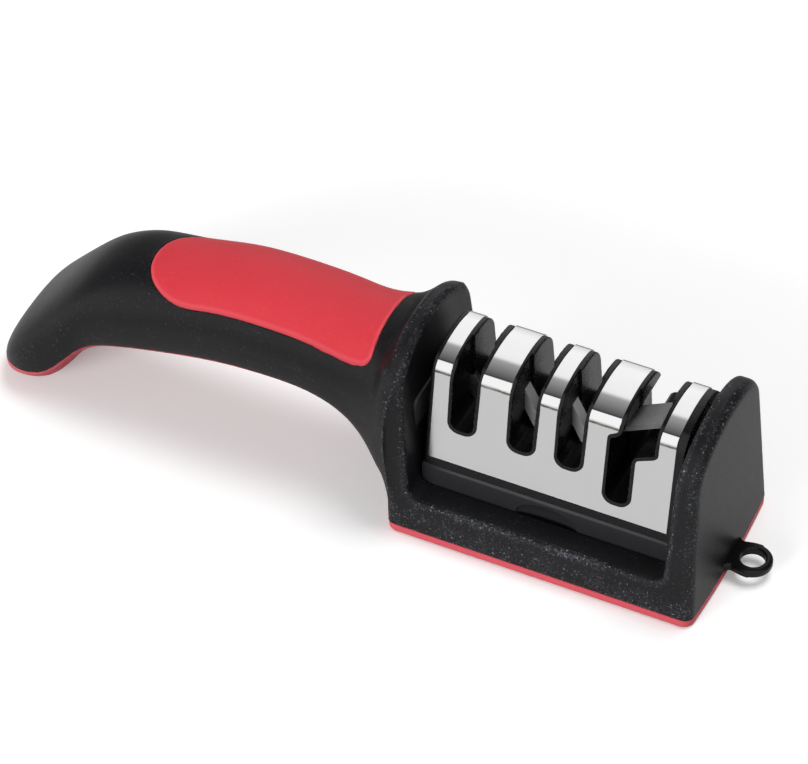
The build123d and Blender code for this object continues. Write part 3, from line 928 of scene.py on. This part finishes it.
def rubber_red(name, deep, light, edge_wear_and_highlight):
    look = Look(name)
    grain = look.noise(look.scaled(2.6), 4.0, 0.65)
    fibre = look.remap(look.noise(look.scaled(0.7, 2.6, 2.6), 5.0, 0.7), 0.6, 0.72, 0.0, 1.0)
    cloud = look.noise(look.scaled(0.07), 3.0, 0.5)
    edge = look.attribute("edge")
    tone = look.mix(cloud, deep, light)
    pits = look.remap(grain, 0.45, 0.7, 0.0, 1.0)
    tone = look.mix(look.math("MULTIPLY", pits, 0.14), tone, (0.42, 0.02, 0.03))
    tone = look.mix(look.math("MULTIPLY", fibre, 0.3), tone, (0.85, 0.2, 0.22))
    # Convex edges shift towards the last colour: partly wear and partly painted edge highlight
    tone = look.mix(look.math("MULTIPLY", edge, 0.4), tone, edge_wear_and_highlight)
    rough = look.remap(grain, 0.3, 0.7, 0.44, 0.56)
    normal = look.bump(grain, 0.02, 0.8)
    return look.set(Base_Color=tone, Roughness=rough, Normal=normal, Specular_IOR_Level=0.35)


def plastic_black():
    look = Look("black_plastic_moulded")
    grain = look.noise(look.scaled(2.2), 5.0, 0.6)
    cloud = look.noise(look.scaled(0.12), 3.0, 0.5)
    scuff = look.remap(look.noise(look.scaled(0.5, 2.5, 3.0), 5.0, 0.65), 0.62, 0.72, 0.0, 1.0)
    tone = look.mix(cloud, (0.0028, 0.0028, 0.0032), (0.0048, 0.0048, 0.0054))
    tone = look.mix(look.math("MULTIPLY", scuff, 0.2), tone, (0.03, 0.03, 0.033))
    rough = look.math("ADD", look.remap(grain, 0.3, 0.7, 0.24, 0.32), look.math("MULTIPLY", scuff, 0.12))
    normal = look.bump(grain, 0.006, 0.6)
    return look.set(Base_Color=tone, Roughness=rough, Normal=normal, Specular_IOR_Level=0.22)


def plastic_tray():
    look = Look("tray_plastic_matt")
    grain = look.noise(look.scaled(2.8), 5.0, 0.6)
    cloud = look.noise(look.scaled(0.14), 3.0, 0.5)
    specks = look.remap(look.noise(look.scaled(2.0), 3.0, 0.6), 0.68, 0.74, 0.0, 0.5)
    tone = look.mix(cloud, (0.022, 0.022, 0.025), (0.03, 0.03, 0.034))
    tone = look.mix(specks, tone, (0.1, 0.1, 0.108))
    rough = look.remap(grain, 0.3, 0.7, 0.28, 0.38)
    normal = look.bump(grain, 0.012, 0.7)
    return look.set(Base_Color=tone, Roughness=rough, Normal=normal, Specular_IOR_Level=0.4)


def plastic_inner():
    look = Look("inner_plastic_matte")
    grain = look.noise(look.scaled(1.6), 5.0, 0.6)
    cloud = look.noise(look.scaled(0.1), 3.0, 0.5)
    tone = look.mix(cloud, (0.03, 0.03, 0.032), (0.045, 0.045, 0.048))
    rough = look.remap(grain, 0.3, 0.7, 0.5, 0.62)
    return look.set(Base_Color=tone, Roughness=rough, Normal=look.bump(grain, 0.02, 0.6))


def steel(name, tint, low_rough, high_rough):
    look = Look(name)
    lines = look.noise(look.scaled(0.08, 2.2, 4.0), 4.0, 0.6)
    cloud = look.noise(look.scaled(0.1), 3.0, 0.5)
    tone = look.mix(look.remap(lines, 0.3, 0.7, 0.0, 1.0), tuple(0.975 * t for t in tint), tint)
    tone = look.mix(look.remap(cloud, 0.35, 0.65, 0.0, 0.05), tone, (0.5, 0.5, 0.52))
    drift = look.remap(cloud, 0.3, 0.7, -0.015, 0.015)
    rough = look.math("ADD", look.remap(lines, 0.3, 0.7, low_rough, high_rough), drift)
    return look, tone, rough


def steel_cover():
    """Satin front and back, a polished crown, a thin dark line of painted shade along each fold, and
    painted shade over the back from its far shoulder down.
    """
    look, tone, rough = steel("satin_steel_cover", (0.63, 0.63, 0.635), 0.17, 0.2)
    height, depth = look.split(2), look.split(1)
    crown = look.remap(height, fold_height - 0.4, fold_height + 0.9, 0.0, 1.0)
    rough = look.math("MULTIPLY", rough, look.remap(crown, 0.0, 1.0, 1.0, 0.5))
    # Painted shade: a thin dark olive line along each fold, wandering a little in height and broken in
    # strength
    wander = look.remap(look.noise(look.scaled(0.25, 0.0, 0.0), 2.0, 0.5), 0.3, 0.7, -0.12, 0.12)
    off = look.math("ABSOLUTE", look.math("SUBTRACT", height, look.math("ADD", wander, fold_height)))
    line = look.remap(off, 0.2, 0.42, 1.0, 0.0)
    fold_shade_strength = look.remap(look.noise(look.scaled(0.2, 0.0, 0.0), 3.0, 0.6), 0.4, 0.6, 0.6, 1.0)
    tone = look.mix(look.math("MULTIPLY", line, fold_shade_strength), tone, (0.06, 0.053, 0.012))
    # Painted shade: the base colour darkens from the top of the back shoulder over the whole back face
    tone = look.mix(look.remap(depth, 9.8, 10.5, 0.0, 0.6), tone, (0.03, 0.03, 0.032))
    return look.set(Base_Color=tone, Roughness=rough, Metallic=1.0)


def steel_screws():
    look, tone, rough = steel("screw_steel_plain", (0.56, 0.56, 0.57), 0.26, 0.38)
    grain = look.noise(look.scaled(3.0), 4.0, 0.6)
    return look.set(Base_Color=tone, Roughness=rough, Metallic=1.0, Normal=look.bump(grain, 0.004, 0.6))


def mineral(name, dark, light, size, depth, metal, low_rough, high_rough):
    look = Look(name)
    grit = look.noise(look.scaled(size), 4.0, 0.7)
    cloud = look.noise(look.scaled(0.3), 3.0, 0.5)
    tone = look.mix(look.remap(grit, 0.35, 0.65, 0.0, 1.0), dark, light)
    tone = look.mix(look.math("MULTIPLY", cloud, 0.25), tone, dark)
    rough = look.remap(grit, 0.3, 0.7, low_rough, high_rough)
    return look.set(Base_Color=tone, Roughness=rough, Metallic=metal, Normal=look.bump(grit, depth, 0.8))


# The third colour of each red goes on its convex edges: partly wear and partly painted edge highlight
inlay_reds = (0.6, 0.034, 0.047), (0.66, 0.046, 0.062), (0.8, 0.12, 0.145)
pad_reds = (0.8, 0.11, 0.14), (0.86, 0.135, 0.165), (0.88, 0.22, 0.25)
carbide_greys = (0.2, 0.2, 0.21), (0.34, 0.34, 0.35)
grit_greys = (0.3, 0.3, 0.305), (0.52, 0.52, 0.53)
ceramic_greys = (0.4, 0.4, 0.4), (0.5, 0.5, 0.5)
plate_greys = (0.14, 0.14, 0.14), (0.24, 0.24, 0.24)
looks = {
    "black_rubber": rubber_black(),
    "red_rubber": rubber_red("red_rubber_satin", *inlay_reds),
    "black_plastic": plastic_black(),
    "inner_plastic": plastic_inner(),
    "satin_steel": steel_cover(),
    "screw_steel": steel_screws(),
    "carbide": mineral("carbide_ground", *carbide_greys, 3.0, 0.006, 1.0, 0.3, 0.42),
    "diamond_grit": mineral("diamond_grit_rod", *grit_greys, 3.5, 0.03, 0.15, 0.4, 0.55),
    "ceramic": mineral("ceramic_matte", *ceramic_greys, 4.0, 0.01, 0.0, 0.4, 0.5),
}
pad_look = rubber_red("red_rubber_pad", *pad_reds)
own_looks = {
    "base_pad": pad_look,
    "cartridge_tray": plastic_tray(),
    "scissor_plate": mineral("scissor_plate_ground", *plate_greys, 3.0, 0.008, 0.0, 0.35, 0.45),
}
slots = {s["node"]: s["material_slot"] for s in frame["record"]["subparts"]}
for name, obj in frame["nodes"].items():
    obj.data.materials.clear()
    obj.data.materials.append(own_looks.get(name, looks[slots[name]]))


def dress(obj, slot, body, node, look=None):
    """Put a new piece in the place of a CAD node."""
    obj.data.materials.append(look or looks[slot])
    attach(obj, body)
    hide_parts(node)


# Boxes that hold the meshed pieces, lowest and highest corner, and the steps of their meshes
shell_box = (-104.3, -26.3, -1.3), (95.1, 26.3, 57.3)
inlay_box = (-66, -16.4, 36), (3.5, 16.4, 49.6)
strip_box = (-104.3, -22.3, -1.1), (-3.3, 22.3, 29.9)
plate_box = (11.3, -24.3, 1.9), (104.1, 24.3, 5.7)
core_half = 16.6
core_overlap = 0.4
shell_step, inlay_step, strip_step, plate_step, core_step = 0.55, 0.5, 0.6, 0.192, 0.32

shell = field_piece("soft_touch_shell", shell_field, shell_box, shell_step, 40, outer_field)
dress(shell, "black_rubber", "base", "soft_shell")
inlay = field_piece("grip_inlay_soft", inlay_field, inlay_box, inlay_step, 40, inlay_field)
dress(inlay, "red_rubber", "base", "grip_inlay")
strip = field_piece("underside_strip_soft", strip_field, strip_box, strip_step, 40, strip_field)
dress(strip, "red_rubber", "base", "underside_strip", look=pad_look)
plate = field_piece("bottom_plate_ring", plate_field, plate_box, plate_step, 50)
dress(plate, "black_plastic", "base", "base_plate")
for name, near, far, behind in (
    ("front", -core_half, core_overlap, 0),
    ("back", -core_overlap, core_half, 1),
):
    box = (pocket_left - 0.3, near, tray_top - 0.6), (pocket_right + 0.3, far, steel_top + 1.2)
    half = field_piece(
        "slotted_core_" + name, lambda x, y, z: cartridge_field(x, y, z, behind), box, core_step, 38,
    )
    dress(half, "black_plastic", "cartridge", "cartridge_core_" + name)
dress(steel_sheet(), "satin_steel", "cartridge", "steel_cover")


def soften(names, width):
    """Small rounded edges on CAD pieces, by modifiers that leave their meshes as they are."""
    for name in names:
        obj = frame["nodes"][name]
        weld = obj.modifiers.new("weld", "WELD")
        weld.merge_threshold = 0.000004
        bevel = obj.modifiers.new("edges", "BEVEL")
        bevel.width = width * MM
        bevel.segments = 2
        bevel.limit_method = "ANGLE"
        bevel.angle_limit = math.radians(30)
        bevel.use_clamp_overlap = True
        bevel.harden_normals = True


soften(["base_pad"], 0.3)
soften(["cartridge_tray"], 0.15)
soften([n for n in frame["nodes"] if "rod" in n or "blade" in n or n == "scissor_plate"], 0.15)

# Floor, light and camera

target = Vector((4.10, 0, 25.77)) * MM
distance = 1.112246
azimuth = math.radians(25.2467)
elevation = math.radians(44.0535)
roll = math.radians(-0.07)
level = math.cos(elevation)
back = Vector((math.sin(azimuth) * level, -math.cos(azimuth) * level, math.sin(elevation)))
right = Vector((math.cos(azimuth), math.sin(azimuth), 0))
up = back.cross(right)
turned_right = math.cos(roll) * right + math.sin(roll) * up
turned_up = math.cos(roll) * up - math.sin(roll) * right
turn = Matrix((turned_right, turned_up, back)).transposed().to_4x4()
camera = bpy.data.objects.new("camera", bpy.data.cameras.new("camera"))
camera.matrix_world = Matrix.Translation(target + back * distance) @ turn
camera.data.lens = 200.5
camera.data.sensor_width = 36
camera.data.sensor_fit = "HORIZONTAL"
camera.data.clip_end = 50
bpy.context.scene.collection.objects.link(camera)
bpy.context.scene.camera = camera

world = bpy.data.worlds.new("studio")
bpy.context.scene.world = world
world.use_nodes = True
tree = world.node_tree
tree.nodes.clear()


def wnode(kind, *inputs, **settings):
    node = tree.nodes.new(kind)
    for key, value in settings.items():
        setattr(node, key, value)
    for socket, value in enumerate(inputs):
        if isinstance(value, bpy.types.NodeSocket):
            tree.links.new(value, node.inputs[socket])
        elif value is not None:
            node.inputs[socket].default_value = value
    return node


def wmath(kind, *inputs, clamp=False):
    return wnode("ShaderNodeMath", *inputs, operation=kind, use_clamp=clamp).outputs[0]


def tone_ramp(value, stops):
    ramp = wnode("ShaderNodeValToRGB", value)
    elements = ramp.color_ramp.elements
    for i, (position, tone) in enumerate(stops):
        stop = elements[i] if i < 2 else elements.new(position)
        stop.position = position
        stop.color = (tone, tone, tone, 1)
    return ramp.outputs[0]


# Studio cards, seen only in reflections. Their tones go by the angle from the front horizon over
# the top to the back. A narrow strip of directions, which the steel's crown mirrors, has its own.
path = wnode("ShaderNodeLightPath")
direction = wnode("ShaderNodeSeparateXYZ", wnode("ShaderNodeTexCoord").outputs["Generated"])
front_way = wmath("MULTIPLY", direction.outputs["Y"], -1.0)
turn_angle = wmath("ARCTAN2", direction.outputs["Z"], front_way)
turn_share = wmath("ADD", wmath("MULTIPLY", turn_angle, 0.5 / math.pi), 0.5)


def share(angle):
    """An angle in degrees as its place on the tone ramps."""
    return 0.5 + angle / 360


broad = tone_ramp(turn_share, [
    (share(-5), 0.7), (share(180), 0.25), (share(2), 1.0), (share(70), 1.0), (share(84), 0.13),
    (share(110), 0.1), (share(165), 0.14),
])
strip_tones = tone_ramp(turn_share, [
    (share(-5), 0.7), (share(182), 0.5), (share(2), 1.0), (share(78), 1.0), (share(81), 0.03),
    (share(92), 0.08), (share(113), 0.36), (share(117), 0.94), (share(160), 1.0), (share(172), 0.8),
])
strip_direction, strip_half, strip_fade = -0.3066, 0.12, 14.0
aside = wmath("ABSOLUTE", wmath("SUBTRACT", direction.outputs["X"], strip_direction))
past_strip = wmath("MULTIPLY", wmath("SUBTRACT", aside, strip_half), strip_fade, clamp=True)
in_strip = wmath("SUBTRACT", 1.0, past_strip, clamp=True)
cards = wnode("ShaderNodeMix", in_strip)
cards.data_type = "RGBA"
tree.links.new(broad, cards.inputs[6])
tree.links.new(strip_tones, cards.inputs[7])
plain = wnode("ShaderNodeBackground", (0.25, 0.25, 0.252, 1), 1.0)
shown = wnode("ShaderNodeBackground", (1, 1, 1, 1), 1.0)
mirrored = wnode("ShaderNodeBackground", cards.outputs[2], 1.45)
seen = wmath("MAXIMUM", path.outputs["Is Camera Ray"], path.outputs["Is Transmission Ray"])
first = wnode("ShaderNodeMixShader", path.outputs["Is Glossy Ray"], plain.outputs[0], mirrored.outputs[0])
second = wnode("ShaderNodeMixShader", seen, first.outputs[0], shown.outputs[0])
wnode("ShaderNodeOutputWorld", second.outputs[0])

bpy.ops.mesh.primitive_plane_add(size=1, location=(0, 0, -0.0001))
floor = bpy.context.object
floor.name = "floor"
floor.scale = (6, 6, 1)
paper = Look("paper_floor")
paper.set(Roughness=0.9, Specular_IOR_Level=0.1)
paper_path = paper.node("ShaderNodeLightPath").node
bounce = paper.mix(paper_path.outputs["Is Diffuse Ray"], (0.9, 0.9, 0.9), (0.25, 0.25, 0.25))
behind = paper.remap(paper.split_world(1), 0.08, 0.22, 0.0, 1.0)
behind = paper.math("MULTIPLY", behind, paper_path.outputs["Is Glossy Ray"])
paper.set(Base_Color=paper.mix(behind, bounce, (0.16, 0.16, 0.16)))
glow = paper.math("MULTIPLY", paper_path.outputs["Is Camera Ray"], 0.24)
paper.set(Emission_Color=(1, 1, 1), Emission_Strength=glow)
floor.data.materials.append(paper.material)


def lamp(name, place, aim, size, watts):
    """A soft rectangular lamp that doesn't show in reflections."""
    data = bpy.data.lights.new(name, "AREA")
    data.shape = "RECTANGLE"
    data.size, data.size_y = size
    data.energy = watts
    obj = bpy.data.objects.new(name, data)
    obj.location = place
    obj.rotation_euler = (Vector(aim) - Vector(place)).to_track_quat("-Z", "Y").to_euler()
    obj.visible_glossy = False
    bpy.context.scene.collection.objects.link(obj)


lamp("overhead", (0.3, 0.4, 1.6), (0, 0, 0), (0.9, 0.8), 16.5)
lamp("front", (-0.5, -1.65, 0.65), (0, 0, 0.02), (1.0, 0.6), 23.0)

scene = bpy.context.scene
scene.view_settings.view_transform = "Standard"
